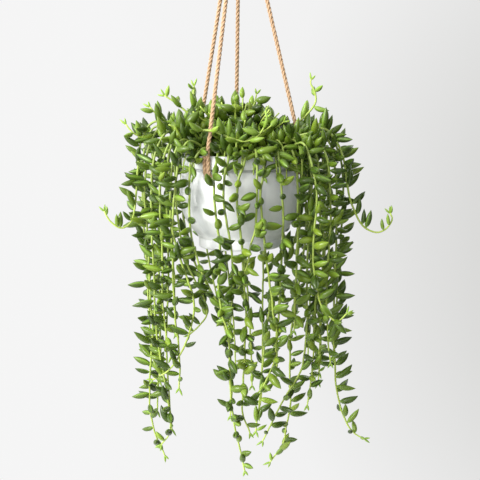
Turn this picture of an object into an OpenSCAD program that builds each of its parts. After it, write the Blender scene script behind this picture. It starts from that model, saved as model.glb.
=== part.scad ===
// Trailing "string of bananas" plant in a glazed planter hung on four jute cords.
// Frame: +Z up, -Y is the front. The origin is the point inside the top of the
// hanging ring where the ring bears on its hook, so everything is below Z = 0.

/* [Planter] */
// Outer diameter of the planter at its belly
pot_d = 150; // [146:1:154]
// Height from the rim to the underside of the foot
pot_h = 116; // [114:1:120]
// Height of the plain band around the rim
band_h = 17.5; // [15:0.5:19]
// Wall thickness of the ceramic
wall = 5; // [4:0.5:6]
// Diameter of the round foot where it meets the floor
foot_d = 101; // [96:1:104]
// Diameter of the four cord holes under the band
hole_d = 11; // [10.5:0.5:12]
// Depth of the soil surface below the rim
soil_drop = 10; // [8:1:14]

/* [Hanger] */
// Height of the hook point above the rim
hang_h = 370; // [365:1:380]
// Diameter of one jute cord
cord_d = 5.2; // [4.8:0.1:5.4]
// Outer diameter of the hanging ring
ring_d = 40; // [38:1:42]
// Wire diameter of the hanging ring
ring_wire = 4; // [3.5:0.5:4]
// Height of the whipping that binds the four cords together
whip_h = 24; // [22:1:26]

/* [Plant] */
// Length of a full-grown leaf
leaf_len = 23; // [18:0.5:24]
// Thickness of a full-grown leaf
leaf_dia = 8; // [6.5:0.5:9]
// Distance between leaves along a vine
leaf_pitch = 14.5; // [11:0.5:18]
// Diameter of a vine's stem at its root
stem_d = 3; // [2.6:0.1:3.4]

/* [Hidden] */

leaf_green = "#4c8a34";
jute_tan = "#b08a62";

rim_z = -hang_h;            // the rim's height in this frame
rim_r = pot_d / 2 - 2.8;    // outer radius of the rim band
foot_r = foot_d / 2;
hole_z = -band_h - 6.5;     // centre of the cord holes, below the rim
ring_r = ring_d / 2 - ring_wire / 2;

// Bearing of each cord hole, in degrees from the front towards the right, and
// where that cord enters the whipping.
HOLES = [-32, 84, -178, -135];
CORD_TOPS = [[-2.5, -4.5], [5, -1], [-1, 4.7], [-4.8, 1]];

// ---------- trailing vines: hand-chosen route points [x, y, z], z from the rim ----------
FRONT = [
 [[-30,-40,-6],[-42,-66,10],[-55,-68,-6],[-60,-64,-30],[-60,-64,-75],[-57,-66,-100],[-48,-68,-132],[-36,-68,-158],[-10,-64,-208]],
 [[-18,-40,-6],[-24,-72,10],[-28,-84,-8],[-31,-86,-24],[-30,-87,-52],[-26,-87,-84],[-24,-86,-112],[-25,-84,-152],[-22,-82,-186],[-14,-80,-214],[-12,-76,-274],[-8,-74,-316],[6,-72,-384]],
 [[-10,-40,-6],[-12,-72,8],[-15,-84,-8],[-18,-87,-22],[-19,-88,-48],[-15,-88,-80],[-10,-87,-112],[-8,-82,-150],[-12,-76,-200]],
 [[4,-42,-6],[8,-74,8],[4,-86,-10],[-2,-89,-28],[-3,-89,-60],[2,-88,-100],[5,-85,-152],[7,-80,-198],[5,-76,-254],[3,-74,-306],[12,-72,-336]],
 [[14,-42,-6],[18,-74,8],[20,-86,-6],[20,-89,-26],[19,-89,-76],[13,-89,-104],[8,-88,-128],[-2,-86,-156]],
 [[20,-40,-6],[26,-72,8],[28,-84,-6],[24,-88,-44],[27,-87,-80],[31,-85,-122],[36,-82,-152],[40,-78,-186],[44,-74,-210],[42,-70,-244],[30,-70,-274],[22,-70,-286]],
 [[32,-36,-6],[42,-64,10],[46,-74,-6],[48,-76,-30],[51,-76,-66],[50,-74,-104],[49,-72,-140],[48,-70,-174],[44,-66,-226]],
 [[40,-30,-6],[58,-50,12],[67,-54,-10],[69,-54,-30],[70,-52,-70],[69,-50,-116],[68,-48,-160],[66,-44,-215]],
 [[46,-26,-6],[72,-50,16],[84,-60,-4],[91,-62,-46],[90,-62,-82],[88,-62,-110],[90,-62,-148],[96,-62,-172],[102,-62,-187],[118,-60,-200],[130,-58,-190]]];
LEFT = [
 [[-36,-12,-6],[-96,-16,40],[-120,-14,20],[-126,-14,-20],[-130,-14,-60],[-133,-14,-80],[-140,-14,-89],[-150,-14,-91],[-160,-14,-84],[-165,-14,-76],[-168,-14,-70]],
 [[-36,-6,-6],[-88,-10,36],[-112,-10,10],[-118,-10,-40],[-116,-10,-96],[-113,-10,-150],[-112,-10,-190],[-110,-10,-232],[-113,-10,-266],[-115,-10,-296],[-114,-10,-328],[-110,-10,-350],[-103,-10,-368],[-96,-10,-385]],
 [[-34,-18,-6],[-80,-34,30],[-102,-38,4],[-108,-38,-50],[-107,-38,-100],[-105,-38,-166],[-104,-36,-210],[-97,-34,-263],[-91,-32,-296],[-87,-30,-328],[-89,-30,-349],[-99,-30,-364]],
 [[-32,-24,-6],[-72,-46,24],[-92,-52,-4],[-96,-52,-60],[-94,-50,-110],[-94,-48,-146],[-94,-46,-178],[-91,-44,-214],[-85,-42,-248]],
 [[-30,-26,-6],[-66,-56,20],[-80,-62,-6],[-83,-62,-60],[-82,-60,-100],[-81,-58,-141],[-80,-56,-185],[-75,-54,-227],[-74,-52,-253],[-75,-50,-286]],
 [[-26,-32,-6],[-58,-62,18],[-72,-70,-4],[-78,-70,-50],[-80,-68,-88],[-76,-68,-108],[-64,-68,-144],[-56,-68,-173],[-58,-66,-200],[-71,-62,-237],[-87,-58,-261],[-107,-54,-274]],
 [[-36,20,-6],[-70,30,26],[-82,30,0],[-80,28,-80],[-68,22,-140],[-48,12,-180],[-42,6,-202],[-50,2,-216],[-65,0,-230]],
 [[-38,8,-6],[-100,22,34],[-120,24,8],[-124,24,-40],[-122,22,-100],[-118,20,-160],[-116,18,-220],[-114,16,-270]],
 [[-38,16,-6],[-92,44,38],[-110,50,10],[-113,50,-50],[-108,48,-120],[-104,46,-190],[-104,44,-255],[-106,42,-300]],
 [[-36,0,-6],[-84,4,34],[-98,4,6],[-100,4,-60],[-98,4,-130],[-100,4,-200],[-104,4,-260],[-106,4,-330]],
 [[-34,24,-6],[-80,60,30],[-92,68,4],[-92,68,-60],[-88,64,-130],[-86,60,-200],[-84,58,-240]],
 [[-30,-14,-6],[-66,-30,26],[-86,-34,4],[-89,-34,-60],[-88,-34,-120],[-90,-32,-190],[-92,-30,-250],[-88,-28,-310],[-86,-26,-345]]];
RIGHT = [
 [[38,-10,-6],[96,-20,32],[122,-20,8],[130,-20,-24],[134,-20,-48],[142,-20,-71],[153,-20,-89],[168,-20,-96],[180,-20,-92],[188,-20,-80],[185,-20,-72]],
 [[38,-4,-6],[92,-8,28],[114,-8,6],[120,-8,-50],[120,-8,-120],[118,-8,-180],[118,-8,-221],[120,-8,-264],[124,-8,-307],[133,-8,-336],[146,-8,-356],[159,-8,-363]],
 [[44,-20,-6],[76,-40,14],[86,-44,-20],[84,-44,-80],[82,-42,-150],[82,-40,-210],[78,-38,-258],[66,-38,-284],[52,-38,-308],[40,-38,-332],[28,-38,-357]],
 [[44,10,-6],[76,6,16],[86,4,-20],[84,0,-90],[74,-4,-160],[65,-8,-220],[63,-10,-273],[64,-10,-315],[60,-10,-341],[54,-12,-370],[38,-14,-392]],
 [[38,4,-6],[98,10,30],[121,12,8],[130,12,-40],[128,10,-100],[124,8,-160],[122,6,-220],[118,4,-262]],
 [[36,14,-6],[88,36,28],[108,42,6],[113,42,-50],[110,40,-120],[106,38,-190],[105,34,-250],[103,30,-286]],
 [[32,-18,-6],[80,-38,26],[104,-42,0],[110,-42,-60],[108,-42,-120],[106,-40,-180],[109,-38,-225],[112,-36,-258]],
 [[30,22,-6],[76,54,32],[96,66,6],[98,66,-60],[94,62,-130],[92,58,-200],[90,54,-270]],
 [[36,2,-6],[80,4,30],[102,6,4],[106,6,-70],[104,4,-140],[102,2,-210],[101,0,-250],[100,-2,-290]],
 [[34,-14,-6],[70,-34,22],[92,-40,0],[97,-40,-60],[96,-40,-130],[92,-38,-200],[90,-36,-260],[84,-34,-312]],
 [[30,28,-6],[66,64,28],[80,76,4],[80,76,-70],[76,72,-150],[70,66,-220]]];
BACK = [
 [[-20,36,-6],[-46,76,26],[-54,90,0],[-52,92,-60],[-46,86,-120],[-36,72,-170],[-24,58,-215]],
 [[-10,38,-6],[-24,82,26],[-28,98,0],[-26,100,-60],[-20,92,-130],[-12,76,-190],[-8,60,-240],[-6,52,-280]],
 [[2,38,-6],[2,84,28],[2,100,2],[2,102,-60],[4,94,-130],[10,78,-190],[14,62,-250],[16,54,-310]],
 [[14,38,-6],[28,82,26],[34,96,0],[34,98,-60],[32,90,-130],[30,76,-190],[30,60,-250],[28,52,-320],[24,48,-350]],
 [[24,34,-6],[50,74,26],[60,86,0],[60,88,-60],[56,80,-130],[52,68,-190],[50,56,-250],[48,50,-300]]];
MIDDLE = [
 [[34,20,-6],[66,40,22],[78,46,-20],[74,40,-100],[56,24,-150],[40,8,-190],[31,-8,-240],[26,-16,-300],[20,-20,-350]],
 [[-34,18,-6],[-66,40,20],[-76,44,-20],[-71,42,-100],[-58,30,-142],[-30,6,-190],[-15,-10,-235],[-10,-16,-290],[-12,-20,-330]]];
SPROUTS = [
 [[30,6,-6],[60,8,32],[76,4,42],[84,2,50],[93,0,62],[94,0,70],[91,0,79],[87,0,87],[88,0,92]],
 [[-34,-20,-4],[-52,-46,24],[-48,-62,30],[-32,-68,30],[-11,-72,22],[4,-73,18],[18,-72,22],[28,-68,34],[32,-64,46]],
 [[-34,-8,-6],[-80,-14,20],[-104,-14,16],[-116,-14,14],[-124,-14,22],[-131,-14,26],[-137,-14,32],[-140,-14,37]],
 [[-30,0,-6],[-66,4,26],[-92,6,36],[-104,6,48],[-112,6,58]],
 [[-24,6,-6],[-50,10,36],[-72,12,56],[-84,12,65],[-94,12,72]],
 [[-22,0,-6],[-44,2,24],[-56,2,46],[-58,2,60],[-57,2,84]]];

// ---------- functions ----------
// Repeatable scatter value from 0 to 1
function rnd(a, b) = let (v = sin(a * 127.1 + b * 311.7) * 4375.8545) v - floor(v);
function unit(v) = v / max(norm(v), 1e-9);
function mix(a, b, t) = a * (1 - t) + b * t;
function clamp(v, lo, hi) = min(max(v, lo), hi);

// Smooth curve through the points of P, at parameter u counted in points
function through(P, u) = let (n = len(P), i = clamp(floor(u), 0, n - 2), t = u - i,
    b = P[i], c = P[i + 1],
    a = i > 0 ? P[i - 1] : 2 * b - c, d = i < n - 2 ? P[i + 2] : 2 * c - b)
    0.5 * (2 * b + (c - a) * t + (2 * a - 5 * b + 4 * c - d) * t * t
      + (3 * b - a - 3 * c + d) * t * t * t);
// The curve as a fine polyline, and the distance run at each of its points
function fine(P, k = 6) = [for (j = [0 : (len(P) - 1) * k]) through(P, j / k)];
function runs(Q) = [for (j = 0, s = 0; j < len(Q); j = j + 1,
    s = s + (j < len(Q) ? norm(Q[j] - Q[j - 1]) : 0)) s];
// Index of the polyline stretch that holds distance s, then the point and direction there
function stretch(S, s, lo = 0, hi = -1) = let (h = hi < 0 ? len(S) - 1 : hi)
    h - lo <= 1 ? lo : let (m = floor((lo + h) / 2)) S[m] <= s ? stretch(S, s, m, h) : stretch(S, s, lo, m);
function at(Q, S, s) = let (i = stretch(S, s), t = (s - S[i]) / max(S[i + 1] - S[i], 1e-9)) mix(Q[i], Q[i + 1], t);
function way(Q, S, s) = let (i = stretch(S, s)) unit(Q[i + 1] - Q[i]);

// ---------- shared shapes ----------
// Round tube swept along the points P; R holds the radius at each point
module sweep(P, R, sides) {
  n = len(P);
  T = [for (i = [0 : n - 1]) unit(P[min(i + 1, n - 1)] - P[max(i - 1, 0)])];
  ref = abs(T[0].y) < 0.9 ? [0, 1, 0] : [1, 0, 0];
  // the ring's frame is carried from point to point, so the tube doesn't twist
  N = [for (i = 0, v = unit(ref - T[0] * (ref * T[0])); i < n;
       i = i + 1, v = i < n ? unit(v - T[i] * (v * T[i])) : v) v];
  pts = [for (i = [0 : n - 1]) for (k = [0 : sides - 1])
      let (b = cross(T[i], N[i]), a = 360 * k / sides) P[i] + R[i] * (N[i] * cos(a) + b * sin(a))];
  faces = concat(
    [[for (k = [0 : sides - 1]) k]],
    [for (i = [0 : n - 2]) for (k = [0 : sides - 1]) let (a = i * sides + k, b = i * sides + (k + 1) % sides)
      each [[a, a + sides, b], [b, a + sides, b + sides]]],
    [[for (k = [sides - 1 : -1 : 0]) (n - 1) * sides + k]]);
  polyhedron(pts, faces);
}

// One plump leaf, pointed at its tip, growing from p in direction d
module leaf(p, d, len, dia) {
  translate(p) rotate([0, acos(clamp(d.z, -1, 1)), atan2(d.y, d.x)])
    rotate_extrude($fn = 24)
      polygon([[0, 0], [dia * 0.05, 0], [dia * 0.46, len * 0.25], [dia * 0.45, len * 0.6],
        [dia * 0.05, len], [0, len]]);
}

// Radius of a stem at fraction q of its length
function stem_r(q) = stem_d / 2 * (1 - 0.35 * q * q);

// Growing direction of leaf k at point p: outward from the planter's axis, turned to
// one side and then the other, and lifted by a scattered angle
function leaf_way(p, t, k, seed, lift, fan, loose) = let (
    o = unit([p.x, p.y, 0] + 1e-3 * [sin(seed * 50), -cos(seed * 50), 0]),
    s = [-o.y, o.x, 0],
    a = (k % 2 == 0 ? 1 : -1) * (fan + 40 * loose * (rnd(seed, k) - 0.5)) + 50 * loose * (rnd(seed + 7, k) - 0.5),
    e = lift + 50 * loose * (rnd(seed + 3, k) - 0.5),
    h = o * cos(a) + s * sin(a),
    raw = h * cos(e) + [0, 0, sin(e)],
    // the leaf stands off its stem rather than lying along it
    side = raw - t * (raw * t) * 0.35)
    unit(side);

// A vine: its stem, and its leaves at an even pitch that shrink towards the tip
module vine(route, seed, lift = 22, pitch = leaf_pitch, first = 26, fan = 50, taper = 22, loose = 2.2) {
  Q = fine(route);
  S = runs(Q);
  L = S[len(S) - 1];
  rings = clamp(round(L / 34), 4, 12);
  R = [for (i = [0 : rings]) at(Q, S, L * i / rings * 0.9999)];
  color("#93b356")
    sweep(R, [for (i = [0 : rings]) stem_r(i / rings)], 5);
  color(leaf_green)
    for (k = [0 : floor((L - first) / pitch)])
      let (s = first + pitch * (k + 0.3 * (rnd(seed + 5, k) - 0.5)),
           g = clamp((L - s) / taper, 0, 1), f = (0.42 + 0.58 * g) * (0.84 + 0.32 * rnd(seed + 1, k)))
        if (s < L - 1)
          let (u = s / L * rings, j = floor(u), t = unit(R[j + 1] - R[j]), p = R[j] + (R[j + 1] - R[j]) * (u - j))
            let (d = leaf_way(p, t, k, seed, lift + (1 - g) * 20, fan, loose))
              leaf(p + d * stem_r(s / L) * 0.6, d, leaf_len * f, leaf_dia * f);
}

// Short leafy shoots that fill the crown between two bearings; each rises from the
// soil and leans outward
module crown(n, from, to, r0, r1, top0, top1, seed) {
  for (i = [0 : n - 1])
    let (a = from + (to - from) * (i + 0.5 + 0.5 * (rnd(seed, i) - 0.5)) / n,
         q = (i * 0.618034) - floor(i * 0.618034),
         r = r0 + (r1 - r0) * q,
         h = top0 + (top1 - top0) * (1 - q) - 10 * rnd(seed + 2, i),
         u = [sin(a), -cos(a), 0], w = [cos(a), sin(a), 0] * 24 * (rnd(seed + 4, i) - 0.5))
      vine([u * r * 0.35 + [0, 0, -soil_drop - 2], u * r * 0.6 + w * 0.4 + [0, 0, h * 0.55],
            u * r + w + [0, 0, h]], seed + 20 + i, lift = 45, pitch = 17, first = 12, fan = 75, taper = 14, loose = 1.8);
}

// Outward and sideways directions at a bearing
function out(a) = [sin(a), -cos(a), 0];
function along(a) = [cos(a), sin(a), 0];
// A cord's route from the whipping down over the band and in through its hole
function cord_route(i) = let (a = HOLES[i], u = out(a), w = along(a) * cord_d / 2,
    top = [CORD_TOPS[i].x, CORD_TOPS[i].y, hang_h - 64], edge = u * (rim_r + 3.6) + w + [0, 0, 6])
    concat([for (k = [0 : 16]) mix(top, edge, k / 17)],
      [edge, u * (rim_r + 3.1) + w + [0, 0, -6], u * (rim_r + 3) + w + [0, 0, hole_z + 8],
       u * (rim_r + 0.6) + w + [0, 0, hole_z + 1.5], u * (rim_r - 4) + w + [0, 0, hole_z],
       u * (rim_r - 12) + w * 0.9 + [0, 0, hole_z]]);
function tail_route(i) = let (a = HOLES[i], u = out(a), w = -along(a) * cord_d / 2)
    [u * (rim_r + 3.6) + w * 0.9 + [0, 0, 5], u * (rim_r + 3.1) + w + [0, 0, -6], u * (rim_r + 3) + w + [0, 0, hole_z + 8],
     u * (rim_r + 0.6) + w + [0, 0, hole_z + 1.5], u * (rim_r - 4) + w + [0, 0, hole_z],
     u * (rim_r - 12) + w * 0.9 + [0, 0, hole_z]];

// ---------- planter and hanger ----------
// Outer radius of the pot at height z under the rim, as [radius, z] points
OUTER = [[rim_r - 0.8, 0], [rim_r, -1.2], [rim_r + 0.1, -band_h + 0.8], [rim_r - 0.8, -band_h],
  [rim_r - 0.6, -band_h - 1.2], [rim_r + 0.5, -band_h - 2.2], [pot_d / 2 - 1, -33], [pot_d / 2, -47],
  [pot_d / 2 - 1.2, -62], [pot_d / 2 - 4.2, -74], [pot_d / 2 - 9, -84], [pot_d / 2 - 15, -92.5],
  [pot_d / 2 - 20.5, -98.5], [foot_r + 1.8, -102], [foot_r + 1.2, -103.5], [foot_r + 0.8, -pot_h + 3],
  [foot_r, -pot_h + 0.8], [foot_r - 1.5, -pot_h]];
INNER = [[0, -100], [pot_d / 2 - 32, -99], [pot_d / 2 - 23, -93], [pot_d / 2 - 14, -82], [pot_d / 2 - wall - 3.4, -70],
  [pot_d / 2 - wall - 0.8, -58], [pot_d / 2 - wall, -46], [rim_r - wall + 0.6, -30], [rim_r - wall, -3], [rim_r - wall + 1, 0]];

module planter_pot() {
  color("#f0f1f0") translate([0, 0, rim_z]) difference() {
    rotate_extrude($fn = 160)
      polygon(concat(OUTER, [[foot_r - 6, -pot_h], [foot_r - 8, -pot_h + 3], [0, -pot_h + 3]], INNER));
    for (a = HOLES)
      rotate([0, 0, a]) translate([0, 0, hole_z]) rotate([90, 0, 0])
        translate([0, 0, rim_r - wall - 6]) cylinder(h = wall + 14, d = hole_d, $fn = 40);
  }
}

module potting_soil() {
  gap = 0.3;
  color("#33261c") translate([0, 0, rim_z]) difference() {
    rotate_extrude($fn = 96)
      polygon([[0, -100 + gap], [pot_d / 2 - 32 - gap, -99 + gap], [pot_d / 2 - 23 - gap, -93 + gap],
        [pot_d / 2 - 14 - gap, -82], [pot_d / 2 - wall - 3.4 - gap, -70], [pot_d / 2 - wall - 0.8 - gap, -58],
        [pot_d / 2 - wall - gap, -46], [rim_r - wall + 0.6 - gap, -30], [rim_r - wall - gap, -soil_drop - 3],
        [pot_d / 4, -soil_drop - 0.5], [0, -soil_drop]]);
    for (a = HOLES)
      translate(out(a) * (rim_r - 13) + [0, 0, hole_z]) rotate([0, 0, a]) rotate([-90, 0, 0])
        translate([0, 0, -20]) cylinder(h = 28, r = 8.2, $fn = 32);
  }
}

module hanging_ring() {
  color("#b9b9b6") translate([0, 0, -ring_r + ring_wire / 2]) rotate([90, 0, 0])
    rotate_extrude($fn = 64) translate([ring_r, 0]) circle(d = ring_wire, $fn = 24);
}

module gathering_knot() {
  wire_z = -2 * ring_r + ring_wire / 2;
  color(jute_tan) {
    // the cords' shared eye, closed round the bottom of the ring
    translate([0, 0, wire_z]) rotate([0, 90, 0])
      rotate_extrude($fn = 48) translate([ring_wire / 2 + 3.1, 0]) circle(d = 5.4, $fn = 24);
    // the turns of the whipping round all four cords
    rotate_extrude($fn = 64) union() {
      translate([0, -64]) square([7.4, whip_h]);
      for (i = [0 : 7])
        translate([7, -64 + whip_h * (i + 0.5) / 8]) circle(d = whip_h / 8 + 0.5, $fn = 20);
    }
  }
}

module cord(i) {
  P = cord_route(i);
  color(jute_tan) translate([0, 0, rim_z]) sweep(P, [for (p = P) cord_d / 2], 8);
}
module cord_front_left() { cord(0); }
module cord_right() { cord(1); }
module cord_back() { cord(2); }
module cord_back_left() { cord(3); }

module cord_tails() {
  color(jute_tan) translate([0, 0, rim_z]) for (i = [0 : 3])
    sweep(tail_route(i), [cord_d / 2 * 0.7, cord_d / 2, cord_d / 2, cord_d / 2, cord_d / 2, cord_d / 2], 8);
}

module stopper_knots() {
  color(jute_tan) translate([0, 0, rim_z]) for (a = HOLES)
    translate(out(a) * (rim_r - 16.5) + [0, 0, hole_z]) rotate([0, 0, a]) rotate([90, 0, 0])
      rotate_extrude($fn = 32) union() {
        translate([4.1, -1.8]) circle(r = 3.9, $fn = 24);
        translate([3.8, 2.2]) circle(r = 3.6, $fn = 24);
        translate([0, -5]) square([4, 10]);
      }
}

// ---------- plant ----------
module on_rim() { translate([0, 0, rim_z]) children(); }
module vine_front_1() { on_rim() vine(FRONT[0], 11, lift = -8, loose = 2.7, fan = 42, pitch = 15, first = 34); }
module vine_front_2() { on_rim() vine(FRONT[1], 12, lift = -8, loose = 2.7, fan = 42, pitch = 15, first = 44); }
module vine_front_3() { on_rim() vine(FRONT[2], 13, lift = -8, loose = 2.7, fan = 42, pitch = 15, first = 44); }
module vine_front_4() { on_rim() vine(FRONT[3], 14, lift = -8, loose = 2.7, fan = 42, pitch = 15, first = 44); }
module vine_front_5() { on_rim() vine(FRONT[4], 15, lift = -8, loose = 2.7, fan = 42, pitch = 15, first = 44); }
module vine_front_6() { on_rim() vine(FRONT[5], 16, lift = -8, loose = 2.7, fan = 42, pitch = 15, first = 44); }
module vine_front_7() { on_rim() vine(FRONT[6], 17, lift = -8, loose = 2.7, fan = 42, pitch = 15, first = 40); }
module vine_front_8() { on_rim() vine(FRONT[7], 18, lift = -8, loose = 2.7, fan = 42, pitch = 14, first = 36); }
module vine_front_9() { on_rim() vine(FRONT[8], 19, lift = -8, loose = 2.7, fan = 42, pitch = 14, first = 36); }
module vine_left_1() { on_rim() vine(LEFT[0], 31); }
module vine_left_2() { on_rim() vine(LEFT[1], 32); }
module vine_left_3() { on_rim() vine(LEFT[2], 33); }
module vine_left_4() { on_rim() vine(LEFT[3], 34); }
module vine_left_5() { on_rim() vine(LEFT[4], 35); }
module vine_left_6() { on_rim() vine(LEFT[5], 36); }
module vine_left_7() { on_rim() vine(LEFT[6], 37); }
module vine_left_8() { on_rim() vine(LEFT[7], 38); }
module vine_left_9() { on_rim() vine(LEFT[8], 39); }
module vine_left_10() { on_rim() vine(LEFT[9], 40); }
module vine_left_11() { on_rim() vine(LEFT[10], 41); }
module vine_left_12() { on_rim() vine(LEFT[11], 42); }
module vine_right_1() { on_rim() vine(RIGHT[0], 51, lift = 38); }
module vine_right_2() { on_rim() vine(RIGHT[1], 52, lift = 38); }
module vine_right_3() { on_rim() vine(RIGHT[2], 53, lift = 38); }
module vine_right_4() { on_rim() vine(RIGHT[3], 54, lift = 38); }
module vine_right_5() { on_rim() vine(RIGHT[4], 55, lift = 38); }
module vine_right_6() { on_rim() vine(RIGHT[5], 56, lift = 38); }
module vine_right_7() { on_rim() vine(RIGHT[6], 57, lift = 38); }
module vine_right_8() { on_rim() vine(RIGHT[7], 58, lift = 38); }
module vine_right_9() { on_rim() vine(RIGHT[8], 59, lift = 38); }
module vine_right_10() { on_rim() vine(RIGHT[9], 60, lift = 38); }
module vine_right_11() { on_rim() vine(RIGHT[10], 61, lift = 38); }
module vine_back_1() { on_rim() vine(BACK[0], 71); }
module vine_back_2() { on_rim() vine(BACK[1], 72); }
module vine_back_3() { on_rim() vine(BACK[2], 73); }
module vine_back_4() { on_rim() vine(BACK[3], 74); }
module vine_back_5() { on_rim() vine(BACK[4], 75); }
module vine_middle_1() { on_rim() vine(MIDDLE[0], 81); }
module vine_middle_2() { on_rim() vine(MIDDLE[1], 82); }
module sprout_right() { on_rim() vine(SPROUTS[0], 91, lift = 20); }
module sprout_front() { on_rim() vine(SPROUTS[1], 92, lift = 30); }
module sprout_left() { on_rim() vine(SPROUTS[2], 93, lift = 15); }
module sprouts_top_left() {
  on_rim() {
    vine(SPROUTS[3], 94, lift = 30);
    vine(SPROUTS[4], 95, lift = 30);
    vine(SPROUTS[5], 96, lift = 40);
  }
}
module crown_front() { on_rim() crown(9, -55, 55, 40, 70, 24, 48, 110); }
module crown_left() { on_rim() crown(9, -130, -50, 46, 102, 36, 64, 130); }
module crown_right() { on_rim() crown(9, 50, 130, 46, 98, 16, 58, 150); }
module crown_back() { on_rim() crown(9, 120, 240, 46, 84, 34, 66, 170); }
module crown_centre() { on_rim() crown(10, 0, 360, 12, 48, 58, 80, 190); }

planter_pot();
potting_soil();
hanging_ring();
gathering_knot();
cord_front_left();
cord_right();
cord_back();
cord_back_left();
cord_tails();
stopper_knots();
vine_front_1();
vine_front_2();
vine_front_3();
vine_front_4();
vine_front_5();
vine_front_6();
vine_front_7();
vine_front_8();
vine_front_9();
vine_left_1();
vine_left_2();
vine_left_3();
vine_left_4();
vine_left_5();
vine_left_6();
vine_left_7();
vine_left_8();
vine_left_9();
vine_left_10();
vine_left_11();
vine_left_12();
vine_right_1();
vine_right_2();
vine_right_3();
vine_right_4();
vine_right_5();
vine_right_6();
vine_right_7();
vine_right_8();
vine_right_9();
vine_right_10();
vine_right_11();
vine_back_1();
vine_back_2();
vine_back_3();
vine_back_4();
vine_back_5();
vine_middle_1();
vine_middle_2();
sprout_right();
sprout_front();
sprout_left();
sprouts_top_left();
crown_front();
crown_left();
crown_right();
crown_back();
crown_centre();
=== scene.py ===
import math
import bmesh
import bpy
from mathutils import Matrix, Vector, noise


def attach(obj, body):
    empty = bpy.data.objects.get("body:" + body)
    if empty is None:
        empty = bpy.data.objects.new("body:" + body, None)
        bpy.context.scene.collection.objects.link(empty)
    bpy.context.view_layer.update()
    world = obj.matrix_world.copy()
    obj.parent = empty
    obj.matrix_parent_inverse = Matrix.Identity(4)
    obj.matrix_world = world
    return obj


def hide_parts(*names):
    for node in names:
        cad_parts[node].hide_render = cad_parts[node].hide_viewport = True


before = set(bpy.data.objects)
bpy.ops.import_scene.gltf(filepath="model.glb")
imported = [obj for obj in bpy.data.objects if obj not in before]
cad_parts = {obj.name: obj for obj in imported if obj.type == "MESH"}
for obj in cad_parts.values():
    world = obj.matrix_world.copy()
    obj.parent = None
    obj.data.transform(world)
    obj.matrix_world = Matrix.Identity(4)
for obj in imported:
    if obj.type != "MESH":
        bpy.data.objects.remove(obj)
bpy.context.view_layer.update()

scene = bpy.context.scene

# ---------------------------------------------------------------- numbers of the object, in mm, as in the CAD model
HANG_H, POT_D, POT_H, BAND_H, WALL, FOOT_D, HOLE_D, SOIL_DROP = 370.0, 150.0, 116.0, 17.5, 5.0, 101.0, 11.0, 10.0
CORD_D, RING_D, RING_WIRE, WHIP_H = 5.2, 40.0, 4.0, 24.0
LEAF_LEN, LEAF_DIA, STEM_D = 23.0, 8.0, 3.0
RIM_Z = -HANG_H
RIM_R = POT_D / 2 - 2.8
FOOT_R = FOOT_D / 2
HOLE_Z = -BAND_H - 6.5
HOLES = [-32.0, 84.0, -178.0, -135.0]
CORD_TOPS = [(-2.5, -4.5), (5.0, -1.0), (-1.0, 4.7), (-4.8, 1.0)]
CORD_NODES = ["cord_front_left", "cord_right", "cord_back", "cord_back_left"]


def mm(x, y, z):
    """A point given in mm from the centre of the rim, in metres in the frame."""
    return Vector((x / 1000, y / 1000, (z + RIM_Z) / 1000))


def out(a):
    return Vector((math.sin(math.radians(a)), -math.cos(math.radians(a)), 0))


def along(a):
    return Vector((math.cos(math.radians(a)), math.sin(math.radians(a)), 0))


def rnd(a, b):
    v = math.sin(math.radians(a * 127.1 + b * 311.7)) * 4375.8545
    return v - math.floor(v)


def clamp(v, lo=0.0, hi=1.0):
    return min(max(v, lo), hi)


def mix(a, b, t):
    return a * (1 - t) + b * t


def through(P, u):
    n = len(P)
    i = int(clamp(math.floor(u), 0, n - 2))
    t = u - i
    b, c = P[i], P[i + 1]
    a = P[i - 1] if i > 0 else 2 * b - c
    d = P[i + 2] if i < n - 2 else 2 * c - b
    return 0.5 * (2 * b + (c - a) * t + (2 * a - 5 * b + 4 * c - d) * t * t + (3 * b - a - 3 * c + d) * t * t * t)


class Route:
    """A smooth curve through points, read by the distance run along it."""

    def __init__(self, P, k=6):
        P = [Vector(p) for p in P]
        self.Q = [through(P, j / k) for j in range((len(P) - 1) * k + 1)]
        self.S = [0.0]
        for a, b in zip(self.Q, self.Q[1:]):
            self.S.append(self.S[-1] + (b - a).length)
        self.L = self.S[-1]

    def seg(self, s):
        lo, hi = 0, len(self.S) - 1
        while hi - lo > 1:
            m = (lo + hi) // 2
            if self.S[m] <= s:
                lo = m
            else:
                hi = m
        return lo

    def at(self, s):
        i = self.seg(s)
        t = (s - self.S[i]) / max(self.S[i + 1] - self.S[i], 1e-9)
        return self.Q[i].lerp(self.Q[i + 1], t)

    def way(self, s):
        i = self.seg(s)
        return (self.Q[i + 1] - self.Q[i]).normalized()


# ---------------------------------------------------------------- camera
cam_data = bpy.data.cameras.new("camera")
cam = bpy.data.objects.new("camera", cam_data)
scene.collection.objects.link(cam)
scene.camera = cam
cam_data.lens = 82.95
cam_data.sensor_width = 36.0
cam_data.clip_start, cam_data.clip_end = 0.05, 40
cam.location = (0.0, -1.378, RIM_Z / 1000 + 0.066)
cam.rotation_euler = (math.radians(90 - 7.2), 0, 0)


# ---------------------------------------------------------------- small helpers
def obj_from(name, verts, faces, mats, mat_index=None, smooth=True, attr=None):
    me = bpy.data.meshes.new(name)
    me.from_pydata([tuple(v) for v in verts], [], faces)
    for m in mats:
        me.materials.append(m)
    if mat_index is not None:
        me.polygons.foreach_set("material_index", mat_index)
    if smooth:
        me.polygons.foreach_set("use_smooth", [True] * len(me.polygons))
    if attr is not None:
        for key, values in attr.items():
            a = me.color_attributes.new(key, "FLOAT_COLOR", "POINT")
            a.data.foreach_set("color", [c for v in values for c in v])
    me.update()
    o = bpy.data.objects.new(name, me)
    scene.collection.objects.link(o)
    return o


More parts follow.
